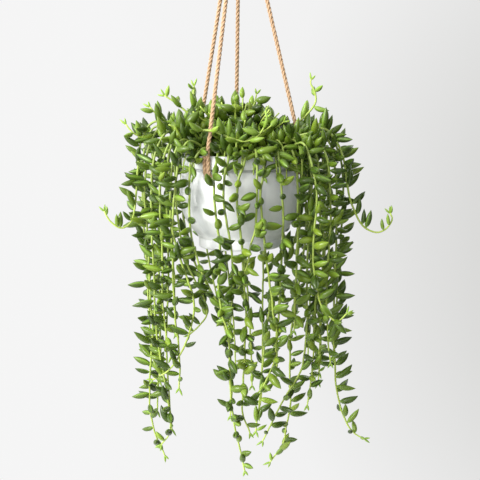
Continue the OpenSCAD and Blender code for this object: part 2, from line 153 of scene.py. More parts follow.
def new_mat(name):
    m = bpy.data.materials.new(name)
    m.use_nodes = True
    nt = m.node_tree
    for n in list(nt.nodes):
        nt.nodes.remove(n)
    outn = nt.nodes.new("ShaderNodeOutputMaterial")
    b = nt.nodes.new("ShaderNodeBsdfPrincipled")
    nt.links.new(b.outputs["BSDF"], outn.inputs["Surface"])
    return m, nt, b


def node(nt, kind, **values):
    n = nt.nodes.new(kind)
    for k, v in values.items():
        if k in n.inputs:
            n.inputs[k].default_value = v
        else:
            setattr(n, k, v)
    return n


def ramp(nt, stops, interpolation="LINEAR"):
    r = nt.nodes.new("ShaderNodeValToRGB")
    r.color_ramp.interpolation = interpolation
    el = r.color_ramp.elements
    while len(el) > 1:
        el.remove(el[-1])
    el[0].position, el[0].color = stops[0][0], (*stops[0][1], 1)
    for p, c in stops[1:]:
        e = el.new(p)
        e.color = (*c, 1)
    return r


def mixrgb(nt, fac, a, b, blend="MIX"):
    m = nt.nodes.new("ShaderNodeMix")
    m.data_type = "RGBA"
    m.blend_type = blend
    for sock, v in ((m.inputs[0], fac), (m.inputs[6], a), (m.inputs[7], b)):
        if hasattr(v, "is_output"):
            nt.links.new(v, sock)
        elif isinstance(v, tuple):
            sock.default_value = (*v, 1) if len(v) == 3 else v
        else:
            sock.default_value = v
    return m.outputs[2]


def maths(nt, op, a, b=None, clampit=False):
    m = nt.nodes.new("ShaderNodeMath")
    m.operation = op
    m.use_clamp = clampit
    for i, v in enumerate((a, b)):
        if v is None:
            continue
        if hasattr(v, "is_output"):
            nt.links.new(v, m.inputs[i])
        else:
            m.inputs[i].default_value = v
    return m.outputs[0]


def bump(nt, b, height, strength, distance):
    n = node(nt, "ShaderNodeBump", Strength=strength, Distance=distance)
    nt.links.new(height, n.inputs["Height"])
    nt.links.new(n.outputs["Normal"], b.inputs["Normal"])
    return n


# ---------------------------------------------------------------- materials
def leaf_material():
    m, nt, b = new_mat("leaf_skin")
    L = nt.links.new
    tc = node(nt, "ShaderNodeTexCoord")
    at = node(nt, "ShaderNodeAttribute", attribute_name="leafdata")
    sep = node(nt, "ShaderNodeSeparateColor")
    L(at.outputs["Color"], sep.inputs[0])
    who, run, line = sep.outputs[0], sep.outputs[1], sep.outputs[2]
    young = at.outputs["Alpha"]
    base = ramp(nt, [(0.0, (0.021, 0.042, 0.005)), (0.35, (0.041, 0.078, 0.007)), (0.7, (0.096, 0.156, 0.013)), (1.0, (0.215, 0.300, 0.026))])
    L(who, base.inputs[0])
    # cloudy mottling of the skin
    n1 = node(nt, "ShaderNodeTexNoise", Scale=260.0, Detail=3.0, Roughness=0.55)
    L(tc.outputs["Object"], n1.inputs["Vector"])
    f1 = ramp(nt, [(0.32, (0, 0, 0)), (0.72, (1, 1, 1))])
    L(n1.outputs[0], f1.inputs[0])
    c = mixrgb(nt, maths(nt, "MULTIPLY", f1.outputs[0], 0.20), base.outputs[0], (0.125, 0.215, 0.024))
    # paler towards the leaf's foot
    foot = ramp(nt, [(0.0, (1, 1, 1)), (0.16, (0.25, 0.25, 0.25)), (0.34, (0, 0, 0))])
    L(run, foot.inputs[0])
    c = mixrgb(nt, maths(nt, "MULTIPLY", foot.outputs[0], 0.5), c, (0.27, 0.44, 0.055))
    # young leaves are yellow-green
    c = mixrgb(nt, young, c, (0.34, 0.52, 0.075))
    # the clear "window" line along the leaf
    c = mixrgb(nt, maths(nt, "MULTIPLY", line, 0.5), c, (0.28, 0.48, 0.065))
    tip = ramp(nt, [(0.93, (0, 0, 0)), (1.0, (1, 1, 1))])
    L(run, tip.inputs[0])
    c = mixrgb(nt, maths(nt, "MULTIPLY", tip.outputs[0], 0.5), c, (0.12, 0.10, 0.035))
    L(c, b.inputs["Base Color"])
    r = ramp(nt, [(0.25, (0.20, 0.20, 0.20)), (0.8, (0.38, 0.38, 0.38))])
    n2 = node(nt, "ShaderNodeTexNoise", Scale=120.0, Detail=2.0)
    L(tc.outputs["Object"], n2.inputs["Vector"])
    L(n2.outputs[0], r.inputs[0])
    L(r.outputs[0], b.inputs["Roughness"])
    b.inputs["Subsurface Weight"].default_value = 0.14
    b.inputs["Subsurface Radius"].default_value = (0.6, 1.0, 0.12)
    b.inputs["Subsurface Scale"].default_value = 0.0035
    b.inputs["Specular IOR Level"].default_value = 0.28
    b.inputs["Coat Weight"].default_value = 0.10
    b.inputs["Coat Roughness"].default_value = 0.25
    n3 = node(nt, "ShaderNodeTexNoise", Scale=900.0, Detail=2.0)
    L(tc.outputs["Object"], n3.inputs["Vector"])
    bump(nt, b, n3.outputs[0], 0.10, 0.0006)
    return m


def stem_material():
    m, nt, b = new_mat("stem_skin")
    L = nt.links.new
    tc = node(nt, "ShaderNodeTexCoord")
    at = node(nt, "ShaderNodeAttribute", attribute_name="leafdata")
    sep = node(nt, "ShaderNodeSeparateColor")
    L(at.outputs["Color"], sep.inputs[0])
    c0 = ramp(nt, [(0.0, (0.23, 0.31, 0.060)), (0.5, (0.30, 0.40, 0.066)), (1.0, (0.37, 0.47, 0.075))])
    L(sep.outputs[1], c0.inputs[0])
    n1 = node(nt, "ShaderNodeTexNoise", Scale=180.0, Detail=4.0)
    L(tc.outputs["Object"], n1.inputs["Vector"])
    f = ramp(nt, [(0.4, (0, 0, 0)), (0.75, (1, 1, 1))])
    L(n1.outputs[0], f.inputs[0])
    c = mixrgb(nt, maths(nt, "MULTIPLY", f.outputs[0], 0.35), c0.outputs[0], (0.16, 0.22, 0.05))
    c = mixrgb(nt, at.outputs["Alpha"], c, (0.46, 0.60, 0.12))
    L(c, b.inputs["Base Color"])
    b.inputs["Roughness"].default_value = 0.45
    b.inputs["Subsurface Weight"].default_value = 0.15
    b.inputs["Subsurface Radius"].default_value = (0.6, 1.0, 0.2)
    b.inputs["Subsurface Scale"].default_value = 0.0015
    n3 = node(nt, "ShaderNodeTexNoise", Scale=1400.0, Detail=2.0)
    L(tc.outputs["Object"], n3.inputs["Vector"])
    bump(nt, b, n3.outputs[0], 0.25, 0.0004)
    return m


def ceramic_material():
    m, nt, b = new_mat("glazed_ceramic_white")
    L = nt.links.new
    tc = node(nt, "ShaderNodeTexCoord")
    mp = node(nt, "ShaderNodeMapping", Scale=(38.0, 38.0, 5.5))
    L(tc.outputs["Object"], mp.inputs["Vector"])
    streak = node(nt, "ShaderNodeTexNoise", Scale=1.0, Detail=5.0, Roughness=0.62, Distortion=1.1)
    L(mp.outputs[0], streak.inputs["Vector"])
    s = ramp(nt, [(0.40, (0, 0, 0)), (0.54, (0.40, 0.40, 0.40)), (0.64, (1, 1, 1))])
    L(streak.outputs[0], s.inputs[0])
    mp2 = node(nt, "ShaderNodeMapping", Scale=(14.0, 14.0, 7.0))
    L(tc.outputs["Object"], mp2.inputs["Vector"])
    cloud = node(nt, "ShaderNodeTexNoise", Scale=1.0, Detail=3.0, Roughness=0.5)
    L(mp2.outputs[0], cloud.inputs["Vector"])
    cl = ramp(nt, [(0.35, (0, 0, 0)), (0.7, (1, 1, 1))])
    L(cloud.outputs[0], cl.inputs[0])
    c = mixrgb(nt, maths(nt, "MULTIPLY", s.outputs[0], 0.75), (0.750, 0.760, 0.768), (0.53, 0.552, 0.570))
    c = mixrgb(nt, maths(nt, "MULTIPLY", cl.outputs[0], 0.22), c, (0.70, 0.71, 0.72))
    speck = node(nt, "ShaderNodeTexVoronoi", Scale=230.0)
    L(tc.outputs["Object"], speck.inputs["Vector"])
    sp = ramp(nt, [(0.0, (1, 1, 1)), (0.10, (0, 0, 0))])
    L(speck.outputs["Distance"], sp.inputs[0])
    c = mixrgb(nt, maths(nt, "MULTIPLY", sp.outputs[0], 0.16), c, (0.42, 0.40, 0.37))
    # painted shade: a dark line round the groove under the rim band, where the band's shadow falls
    xyz = node(nt, "ShaderNodeSeparateXYZ")
    L(tc.outputs["Object"], xyz.inputs[0])
    off = maths(nt, "ABSOLUTE", maths(nt, "SUBTRACT", xyz.outputs[2], (RIM_Z - BAND_H) / 1000))
    groove_shadow_ramp = ramp(nt, [(0.0, (1, 1, 1)), (0.5, (0.85, 0.85, 0.85)), (1.0, (0, 0, 0))])
    L(maths(nt, "MULTIPLY", off, 1 / 0.0021), groove_shadow_ramp.inputs[0])
    c = mixrgb(nt, maths(nt, "MULTIPLY", groove_shadow_ramp.outputs[0], 0.62), c, (0.30, 0.31, 0.31))
    L(c, b.inputs["Base Color"])
    r = ramp(nt, [(0.3, (0.34, 0.34, 0.34)), (0.8, (0.50, 0.50, 0.50))])
    L(streak.outputs[0], r.inputs[0])
    L(r.outputs[0], b.inputs["Roughness"])
    b.inputs["Specular IOR Level"].default_value = 0.36
    b.inputs["Coat Weight"].default_value = 0.10
    b.inputs["Coat Roughness"].default_value = 0.36
    wav = node(nt, "ShaderNodeTexNoise", Scale=48.0, Detail=3.0)
    L(tc.outputs["Object"], wav.inputs["Vector"])
    h = maths(nt, "ADD", maths(nt, "MULTIPLY", wav.outputs[0], 0.7), maths(nt, "MULTIPLY", streak.outputs[0], 0.5))
    bump(nt, b, h, 0.16, 0.0016)
    return m


def jute_material():
    m, nt, b = new_mat("jute_twist")
    L = nt.links.new
    tc = node(nt, "ShaderNodeTexCoord")
    at = node(nt, "ShaderNodeAttribute", attribute_name="ropedata")
    sep = node(nt, "ShaderNodeSeparateColor")
    L(at.outputs["Color"], sep.inputs[0])
    n1 = node(nt, "ShaderNodeTexNoise", Scale=420.0, Detail=6.0, Roughness=0.7)
    L(tc.outputs["Object"], n1.inputs["Vector"])
    n2 = node(nt, "ShaderNodeTexNoise", Scale=1700.0, Detail=3.0, Roughness=0.6)
    L(tc.outputs["Object"], n2.inputs["Vector"])
    base = ramp(nt, [(0.25, (0.300, 0.175, 0.092)), (0.5, (0.470, 0.300, 0.172)), (0.78, (0.640, 0.450, 0.290))])
    L(n1.outputs[0], base.inputs[0])
    # painted shade: darker in the grooves between the strands, where they shadow each other
    strand_gap_shade = maths(nt, "MULTIPLY", sep.outputs[0], 0.75)
    c = mixrgb(nt, strand_gap_shade, base.outputs[0], (0.13, 0.068, 0.030))
    f2 = ramp(nt, [(0.45, (0, 0, 0)), (0.75, (1, 1, 1))])
    L(n2.outputs[0], f2.inputs[0])
    c = mixrgb(nt, maths(nt, "MULTIPLY", f2.outputs[0], 0.35), c, (0.74, 0.57, 0.39))
    L(c, b.inputs["Base Color"])
    b.inputs["Roughness"].default_value = 0.92
    b.inputs["Specular IOR Level"].default_value = 0.2
    b.inputs["Sheen Weight"].default_value = 0.25
    b.inputs["Sheen Roughness"].default_value = 0.5
    h = maths(nt, "ADD", n2.outputs[0], maths(nt, "MULTIPLY", n1.outputs[0], 0.8))
    bump(nt, b, h, 0.6, 0.0007)
    return m


def soil_material():
    m, nt, b = new_mat("potting_soil_dark")
    L = nt.links.new
    tc = node(nt, "ShaderNodeTexCoord")
    v = node(nt, "ShaderNodeTexVoronoi", Scale=420.0)
    L(tc.outputs["Object"], v.inputs["Vector"])
    n1 = node(nt, "ShaderNodeTexNoise", Scale=160.0, Detail=6.0, Roughness=0.7)
    L(tc.outputs["Object"], n1.inputs["Vector"])
    base = ramp(nt, [(0.3, (0.016, 0.010, 0.006)), (0.55, (0.048, 0.030, 0.019)), (0.8, (0.105, 0.070, 0.045))])
    L(n1.outputs[0], base.inputs[0])
    L(base.outputs[0], b.inputs["Base Color"])
    b.inputs["Roughness"].default_value = 0.95
    h = maths(nt, "ADD", v.outputs["Distance"], n1.outputs[0])
    bump(nt, b, h, 0.8, 0.002)
    return m


def perlite_material():
    m, nt, b = new_mat("perlite_grain")
    tc = node(nt, "ShaderNodeTexCoord")
    n1 = node(nt, "ShaderNodeTexNoise", Scale=900.0, Detail=4.0)
    nt.links.new(tc.outputs["Object"], n1.inputs["Vector"])
    base = ramp(nt, [(0.3, (0.34, 0.31, 0.27)), (0.7, (0.62, 0.60, 0.56))])
    nt.links.new(n1.outputs[0], base.inputs[0])
    nt.links.new(base.outputs[0], b.inputs["Base Color"])
    b.inputs["Roughness"].default_value = 0.9
    bump(nt, b, n1.outputs[0], 0.7, 0.001)
    return m


def steel_material():
    m, nt, b = new_mat("ring_steel_brushed")
    L = nt.links.new
    tc = node(nt, "ShaderNodeTexCoord")
    n1 = node(nt, "ShaderNodeTexNoise", Scale=600.0, Detail=4.0)
    L(tc.outputs["Object"], n1.inputs["Vector"])
    c = ramp(nt, [(0.3, (0.46, 0.46, 0.45)), (0.7, (0.62, 0.62, 0.60))])
    L(n1.outputs[0], c.inputs[0])
    L(c.outputs[0], b.inputs["Base Color"])
    b.inputs["Metallic"].default_value = 1.0
    r = ramp(nt, [(0.3, (0.26, 0.26, 0.26)), (0.7, (0.42, 0.42, 0.42))])
    L(n1.outputs[0], r.inputs[0])
    L(r.outputs[0], b.inputs["Roughness"])
    bump(nt, b, n1.outputs[0], 0.12, 0.0003)
    return m


MAT_LEAF, MAT_STEM = leaf_material(), stem_material()
MAT_CERAMIC, MAT_JUTE, MAT_SOIL = ceramic_material(), jute_material(), soil_material()
MAT_PERLITE, MAT_STEEL = perlite_material(), steel_material()


# ---------------------------------------------------------------- rope: three twisted strands, as one mesh
def frames(P):
    """Unit tangents and a pair of side vectors carried along P without twist."""
    n = len(P)
    T = [(P[min(i + 1, n - 1)] - P[max(i - 1, 0)]).normalized() for i in range(n)]
    ref = Vector((0, 1, 0)) if abs(T[0].y) < 0.9 else Vector((1, 0, 0))
    v = (ref - T[0] * ref.dot(T[0])).normalized()
    N = [v]
    for i in range(1, n):
        v = (v - T[i] * v.dot(T[i])).normalized()
        N.append(v)
    return T, N, [t.cross(n_) for t, n_ in zip(T, N)]


class Build:
    def __init__(self):
        self.v, self.f, self.m, self.a = [], [], [], []

    def tube(self, P, R, sides, mat=0, colour=None, caps=True):
        T, N, B = frames(P)
        o = len(self.v)
        for i, p in enumerate(P):
            for k in range(sides):
                a = 2 * math.pi * k / sides
                self.v.append(p + R[i] * (N[i] * math.cos(a) + B[i] * math.sin(a)))
                self.a.append(colour(i, k) if colour else (0, 0, 0, 1))
        for i in range(len(P) - 1):
            for k in range(sides):
                a, b = o + i * sides + k, o + i * sides + (k + 1) % sides
                self.f.append((a, b, b + sides, a + sides))
                self.m.append(mat)
        if caps:
            self.f.append(tuple(o + k for k in reversed(range(sides))))
            self.f.append(tuple(o + (len(P) - 1) * sides + k for k in range(sides)))
            self.m += [mat, mat]

    def rope(self, P, d, turn, strands=3, sides=10, mat=0, seed=0, taper=None):
        """Strands laid round the path P (evenly spaced points), one full turn every `turn` metres."""
        T, N, B = frames(P)
        S = [0.0]
        for a, b in zip(P, P[1:]):
            S.append(S[-1] + (b - a).length)
        for s in range(strands):
            line, rad = [], []
            for i, p in enumerate(P):
                k = 1.0 if taper is None else taper(S[i] / S[-1])
                a = 2 * math.pi * (S[i] / turn + s / strands)
                wob = 1 + 0.10 * noise.noise(Vector((S[i] * 160, s * 7.3 + seed, 2.1)))
                line.append(p + (N[i] * math.cos(a) + B[i] * math.sin(a)) * d * 0.235 * k * wob)
                rad.append(d * 0.270 * k * (1 + 0.07 * noise.noise(Vector((S[i] * 210, s * 3.1 + seed, 9.4)))))
            core = P

            def shade(i, k, line=line, rad=rad, sides=sides):
                return (0, 0, 0, 1)
            o = len(self.v)
            self.tube(line, rad, sides, mat)
            # how deep each point lies between the strands, for the painted shade in the grooves
            for i in range(len(P)):
                for k in range(sides):
                    q = self.v[o + i * sides + k]
                    r = (q - core[i]).length / (d * 0.5)
                    self.a[o + i * sides + k] = (clamp((0.86 - r) / 0.42), S[i] / max(S[-1], 1e-9), s / strands, 1)


def resample(P, step):
    R = Route(P, 8)
    n = max(4, int(R.L / step))
    return [R.at(R.L * i / n * 0.99999) for i in range(n + 1)], R.L


def cord_route(i):
    a = HOLES[i]
    u, w = out(a), along(a) * CORD_D / 2
    top = Vector((CORD_TOPS[i][0], CORD_TOPS[i][1], HANG_H - 64))
    edge = u * (RIM_R + 3.6) + w + Vector((0, 0, 6))
    P = [top.lerp(edge, k / 17) for k in range(17)]
    P += [edge, u * (RIM_R + 3.1) + w + Vector((0, 0, -6)), u * (RIM_R + 3) + w + Vector((0, 0, HOLE_Z + 8)),
          u * (RIM_R + 0.6) + w + Vector((0, 0, HOLE_Z + 1.5)), u * (RIM_R - 4) + w + Vector((0, 0, HOLE_Z)),
          u * (RIM_R - 12) + w * 0.9 + Vector((0, 0, HOLE_Z))]
    return [mm(*p) for p in P]


def tail_route(i):
    a = HOLES[i]
    u, w = out(a), -along(a) * CORD_D / 2
    P = [u * (RIM_R + 3.6) + w * 0.9 + Vector((0, 0, 5)), u * (RIM_R + 3.1) + w + Vector((0, 0, -6)),
         u * (RIM_R + 3) + w + Vector((0, 0, HOLE_Z + 8)), u * (RIM_R + 0.6) + w + Vector((0, 0, HOLE_Z + 1.5)),
         u * (RIM_R - 4) + w + Vector((0, 0, HOLE_Z)), u * (RIM_R - 12) + w * 0.9 + Vector((0, 0, HOLE_Z))]
    return [mm(*p) for p in P]


D = CORD_D / 1000
for i, name in enumerate(CORD_NODES):
    P, length = resample(cord_route(i), 0.0011)
    b = Build()
    b.rope(P, D, 0.0175, seed=i * 11)
    o = obj_from("rope_" + name[5:], b.v, b.f, [MAT_JUTE], attr={"ropedata": b.a})
    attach(o, "root")
    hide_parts(name)
    step = max(1, len(P) // 36)
    path = [tuple(p) for p in P[::step]]
    if path[-1] != tuple(P[-1]):
        path.append(tuple(P[-1]))

b = Build()
for i in range(4):
    P, length = resample(tail_route(i), 0.0011)
    b.rope(P, D, 0.0175, seed=70 + i * 5, taper=lambda t: 0.45 + 0.55 * clamp(t / 0.14))
o = obj_from("rope_tails", b.v, b.f, [MAT_JUTE], attr={"ropedata": b.a})
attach(o, "root")
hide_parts("cord_tails")

# the stopper knots inside the pot: a wound ball of the same rope
b = Build()
for a in HOLES:
    c0 = mm(*(out(a) * (RIM_R - 16.5) + Vector((0, 0, HOLE_Z))))
    u, w, up = out(a), along(a), Vector((0, 0, 1))
    P = []
    for k in range(90):
        t = k / 89
        ang = t * 2 * math.pi * 2.6
        r = 0.0043 + 0.0006 * math.sin(ang * 1.5)
        P.append(c0 + (w * math.cos(ang) + up * math.sin(ang)) * r + u * (0.0030 - 0.0062 * t))
    b.rope(P, D * 0.86, 0.015, seed=a)
o = obj_from("rope_stopper_knots", b.v, b.f, [MAT_JUTE], attr={"ropedata": b.a})
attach(o, "root")
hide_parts("stopper_knots")

# the gathering knot: turns of cord round all four, and the eye that goes round the ring
b = Build()
z0, z1, wind = -0.0625, -0.0415, 0.0023
turns = 8
P = []
for k in range(turns * 40 + 1):
    t = k / (turns * 40)
    ang = 2 * math.pi * turns * t
    r = 0.00715 + 0.00035 * math.sin(9.1 * t + 1)
    P.append(Vector((r * math.sin(ang), -r * math.cos(ang), z0 + (z1 - z0) * t)))
b.rope(P, 0.0032, 0.011, sides=8, seed=3)
core = [Vector((0.0006 * math.sin(7 * k), 0.0006 * math.cos(5 * k), -0.064 + 0.0235 * k / 14)) for k in range(15)]
b.tube(core, [0.0060] * 15, 16)
ring_bottom = -2 * (RING_D / 2 - RING_WIRE / 2) + RING_WIRE / 2
P = []
for k in range(73):
    ang = 2 * math.pi * k / 72
    P.append(Vector((0, 0.0051 * math.sin(ang), (ring_bottom + 0.0) / 1000 - 0.0051 * math.cos(ang))))
b.rope(P, 0.0052, 0.0160, seed=5)
o = obj_from("rope_gathering_knot", b.v, b.f, [MAT_JUTE], attr={"ropedata": b.a})
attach(o, "root")
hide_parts("gathering_knot")

# the ring keeps its CAD shape
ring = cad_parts["hanging_ring"]
ring.data.materials.clear()
ring.data.materials.append(MAT_STEEL)
ring.data.polygons.foreach_set("material_index", [0] * len(ring.data.polygons))


# ---------------------------------------------------------------- the pot
def smooth_profile(P, per=6):
    P = [Vector((r, z, 0)) for r, z in P]
    Q = [through(P, j / per) for j in range((len(P) - 1) * per + 1)]
    return [(q.x, q.y) for q in Q]


def lathe(sections, segments):
    """A closed profile turned round Z. sections is a list of (r, z) in mm from the rim, from the axis to the axis."""
    verts, faces = [], []
    n = len(sections)
    for r, z in sections:
        if r < 1e-6:
            verts.append([mm(0, 0, z)])
        else:
            verts.append([mm(r * math.sin(2 * math.pi * k / segments), -r * math.cos(2 * math.pi * k / segments), z) for k in range(segments)])
    flat, start = [], []
    for ring_ in verts:
        start.append(len(flat))
        flat += ring_
    for i in range(n - 1):
        a, b_ = verts[i], verts[i + 1]
        sa, sb = start[i], start[i + 1]
        for k in range(segments):
            k2 = (k + 1) % segments
            if len(a) == 1 and len(b_) == 1:
                continue
            if len(a) == 1:
                faces.append((sa, sb + k, sb + k2))
            elif len(b_) == 1:
                faces.append((sa + k, sb, sa + k2))
            else:
                faces.append((sa + k, sb + k, sb + k2, sa + k2))
    return flat, faces


half = POT_D / 2
band = [(RIM_R - 2.2, 0.0), (RIM_R - 0.9, -0.35), (RIM_R - 0.15, -1.3), (RIM_R, -3), (RIM_R + 0.1, -9), (RIM_R + 0.05, -BAND_H + 2.4), (RIM_R - 0.25, -BAND_H + 1.3), (RIM_R - 2.3, -BAND_H + 0.7)]
belly = [(RIM_R - 2.3, -BAND_H + 0.7), (RIM_R - 2.1, -BAND_H - 0.7), (RIM_R + 0.1, -BAND_H - 3.0), (half - 1.6, -28), (half - 0.35, -38), (half, -48),
         (half - 1.2, -62), (half - 4.2, -74), (half - 9, -84), (half - 15, -92.5), (half - 20.5, -98.5), (FOOT_R + 2.0, -102), (FOOT_R + 0.9, -104)]
foot = [(FOOT_R + 0.9, -104), (FOOT_R + 1.0, -106), (FOOT_R + 0.8, -POT_H + 3.4), (FOOT_R + 0.1, -POT_H + 1.2), (FOOT_R - 1.8, -POT_H + 0.05), (FOOT_R - 3.0, -POT_H)]
under = [(FOOT_R - 6, -POT_H), (FOOT_R - 7, -POT_H + 0.6), (FOOT_R - 8, -POT_H + 3), (FOOT_R - 14, -POT_H + 3.2), (0, -POT_H + 3.2)]
inner = [(RIM_R - 2.2, 0.0), (RIM_R - WALL + 1.2, -0.3), (RIM_R - WALL + 0.3, -1.4), (RIM_R - WALL, -4), (RIM_R - WALL + 0.6, -30), (half - WALL, -46), (half - WALL - 0.8, -58),
         (half - WALL - 3.4, -70), (half - 14, -82), (half - 23, -93), (half - 32, -99), (0, -100)]
outer_line = smooth_profile(band, 4)[:-1] + smooth_profile(belly, 6)[:-1] + smooth_profile(foot, 5)
under_line = under
inner_line = smooth_profile(inner[:-1], 4) + [(0, -100)]
profile = list(reversed(inner_line)) + outer_line[1:] + under_line
SEG = 192
v, f = lathe(profile, SEG)
# the hand-finished wall isn't a perfect circle
for k, p in enumerate(v):
    r = math.hypot(p.x, p.y)
    if r > 1e-4:
        n_ = noise.noise(Vector((p.x * 22, p.y * 22, p.z * 16))) * 0.00028 + noise.noise(Vector((p.x * 60, p.y * 60, p.z * 50))) * 0.00008
        p.x *= 1 + n_ / r
        p.y *= 1 + n_ / r
pot = obj_from("ceramic_pot", v, f, [MAT_CERAMIC])
bm = bmesh.new()
bm.from_mesh(pot.data)
bmesh.ops.remove_doubles(bm, verts=bm.verts, dist=1e-6)
bmesh.ops.recalc_face_normals(bm, faces=bm.faces)
bm.to_mesh(pot.data)
bm.free()
cutters = []
for a in HOLES:
    u, w, up = out(a), along(a), Vector((0, 0, 1))
    c0 = mm(0, 0, HOLE_Z)
    # a trumpet-mouthed hole, as glaze leaves it
    prof = [(RIM_R - WALL - 6, HOLE_D / 2), (RIM_R - 1.6, HOLE_D / 2), (RIM_R - 0.2, HOLE_D / 2 + 0.5), (RIM_R + 0.9, HOLE_D / 2 + 1.6), (RIM_R + 8, HOLE_D / 2 + 2.2)]
    vv, ff, ns = [], [], 40
    for d_, r_ in prof:
        for k in range(ns):
            t = 2 * math.pi * k / ns
            vv.append(c0 + (u * d_ + w * r_ * math.cos(t) + up * r_ * math.sin(t)) / 1000)
    for i in range(len(prof) - 1):
        for k in range(ns):
            x, y = i * ns + k, i * ns + (k + 1) % ns
            ff.append((x, y, y + ns, x + ns))
    ff.append(tuple(reversed(range(ns))))
    ff.append(tuple((len(prof) - 1) * ns + k for k in range(ns)))
    c = obj_from("cutter", vv, ff, [])
    bm = bmesh.new()
    bm.from_mesh(c.data)
    bmesh.ops.recalc_face_normals(bm, faces=bm.faces)
    bm.to_mesh(c.data)
    bm.free()
    cutters.append(c)
for c in cutters:
    mod = pot.modifiers.new("hole", "BOOLEAN")
    mod.operation, mod.object, mod.solver = "DIFFERENCE", c, "EXACT"
dg = bpy.context.evaluated_depsgraph_get()
final = bpy.data.meshes.new_from_object(pot.evaluated_get(dg))
pot.modifiers.clear()
old = pot.data
pot.data = final
bpy.data.meshes.remove(old)
final.name = "ceramic_pot"
final.polygons.foreach_set("use_smooth", [True] * len(final.polygons))
for c in cutters:
    me = c.data
    bpy.data.objects.remove(c)
    bpy.data.meshes.remove(me)
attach(pot, "root")
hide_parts("planter_pot")

# ---------------------------------------------------------------- the soil, with its lumps and grains
gap = 0.3
side = [(0, -100 + gap), (half - 32 - gap, -99 + gap), (half - 23 - gap, -93 + gap), (half - 14 - gap, -82), (half - WALL - 3.4 - gap, -70), (half - WALL - 0.8 - gap, -58),
        (half - WALL - gap, -46), (RIM_R - WALL + 0.6 - gap, -30), (RIM_R - WALL - gap, -SOIL_DROP - 4)]
top = [(RIM_R - WALL - gap - k * 2.2, -SOIL_DROP - 3) for k in range(1, 30)] + [(0, -SOIL_DROP)]
v, f = lathe(side + top, 120)
for p in v:
    z = p.z * 1000 - RIM_Z
    if z > -SOIL_DROP - 3.5:
        r = math.hypot(p.x, p.y)
        edge = clamp((RIM_R / 1000 - WALL / 1000 - r) / 0.008)
        p.z += edge * (0.0022 * noise.noise(p * 90) + 0.0013 * noise.noise(p * 260) + 0.0014)
soil = obj_from("soil_bed", v, f, [MAT_SOIL])
bm = bmesh.new()
bm.from_mesh(soil.data)
bmesh.ops.recalc_face_normals(bm, faces=bm.faces)
bm.to_mesh(soil.data)
bm.free()
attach(soil, "root")
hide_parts("potting_soil")

b = Build()


def lump(b, c, r, seed, mat):
    o = len(b.v)
    t = (1 + 5 ** 0.5) / 2
    raw = [(-1, t, 0), (1, t, 0), (-1, -t, 0), (1, -t, 0), (0, -1, t), (0, 1, t), (0, -1, -t), (0, 1, -t), (t, 0, -1), (t, 0, 1), (-t, 0, -1), (-t, 0, 1)]
    tris = [(0, 11, 5), (0, 5, 1), (0, 1, 7), (0, 7, 10), (0, 10, 11), (1, 5, 9), (5, 11, 4), (11, 10, 2), (10, 7, 6), (7, 1, 8),
            (3, 9, 4), (3, 4, 2), (3, 2, 6), (3, 6, 8), (3, 8, 9), (4, 9, 5), (2, 4, 11), (6, 2, 10), (8, 6, 7), (9, 8, 1)]
    for k, q in enumerate(raw):
        d_ = Vector(q).normalized()
        b.v.append(c + d_ * r * (0.75 + 0.5 * rnd(seed, k)))
        b.a.append((0, 0, 0, 1))
    for t_ in tris:
        b.f.append(tuple(o + x for x in t_))
        b.m.append(mat)


for k in range(520):
    r = 62 * math.sqrt(rnd(501, k))
    a = 360 * rnd(502, k)
    p = out(a) * r
    size = 0.0007 + 0.0014 * rnd(503, k) ** 2
    lump(b, mm(p.x, p.y, -SOIL_DROP - 0.6 - 0.6 * rnd(504, k)), size, k + 900, 1 if rnd(505, k) > 0.8 else 0)
grains = obj_from("soil_grains", b.v, b.f, [MAT_SOIL, MAT_PERLITE], mat_index=b.m, smooth=False)
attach(grains, "root")
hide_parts("potting_soil")


# ---------------------------------------------------------------- the plant
# Points of the vines' routes in mm, heights from the rim; the CAD model has the same ones.
FRONT = [
 [[-30,-40,-6],[-42,-66,10],[-55,-68,-6],[-60,-64,-30],[-60,-64,-75],[-57,-66,-100],[-48,-68,-132],[-36,-68,-158],[-10,-64,-208]],
 [[-18,-40,-6],[-24,-72,10],[-28,-84,-8],[-31,-86,-24],[-30,-87,-52],[-26,-87,-84],[-24,-86,-112],[-25,-84,-152],[-22,-82,-186],[-14,-80,-214],[-12,-76,-274],[-8,-74,-316],[6,-72,-384]],
 [[-10,-40,-6],[-12,-72,8],[-15,-84,-8],[-18,-87,-22],[-19,-88,-48],[-15,-88,-80],[-10,-87,-112],[-8,-82,-150],[-12,-76,-200]],
 [[4,-42,-6],[8,-74,8],[4,-86,-10],[-2,-89,-28],[-3,-89,-60],[2,-88,-100],[5,-85,-152],[7,-80,-198],[5,-76,-254],[3,-74,-306],[12,-72,-336]],
 [[14,-42,-6],[18,-74,8],[20,-86,-6],[20,-89,-26],[19,-89,-76],[13,-89,-104],[8,-88,-128],[-2,-86,-156]],
 [[20,-40,-6],[26,-72,8],[28,-84,-6],[24,-88,-44],[27,-87,-80],[31,-85,-122],[36,-82,-152],[40,-78,-186],[44,-74,-210],[42,-70,-244],[30,-70,-274],[22,-70,-286]],
 [[32,-36,-6],[42,-64,10],[46,-74,-6],[48,-76,-30],[51,-76,-66],[50,-74,-104],[49,-72,-140],[48,-70,-174],[44,-66,-226]],
 [[40,-30,-6],[58,-50,12],[67,-54,-10],[69,-54,-30],[70,-52,-70],[69,-50,-116],[68,-48,-160],[66,-44,-215]],
 [[46,-26,-6],[72,-50,16],[84,-60,-4],[91,-62,-46],[90,-62,-82],[88,-62,-110],[90,-62,-148],[96,-62,-172],[102,-62,-187],[118,-60,-200],[130,-58,-190]]]
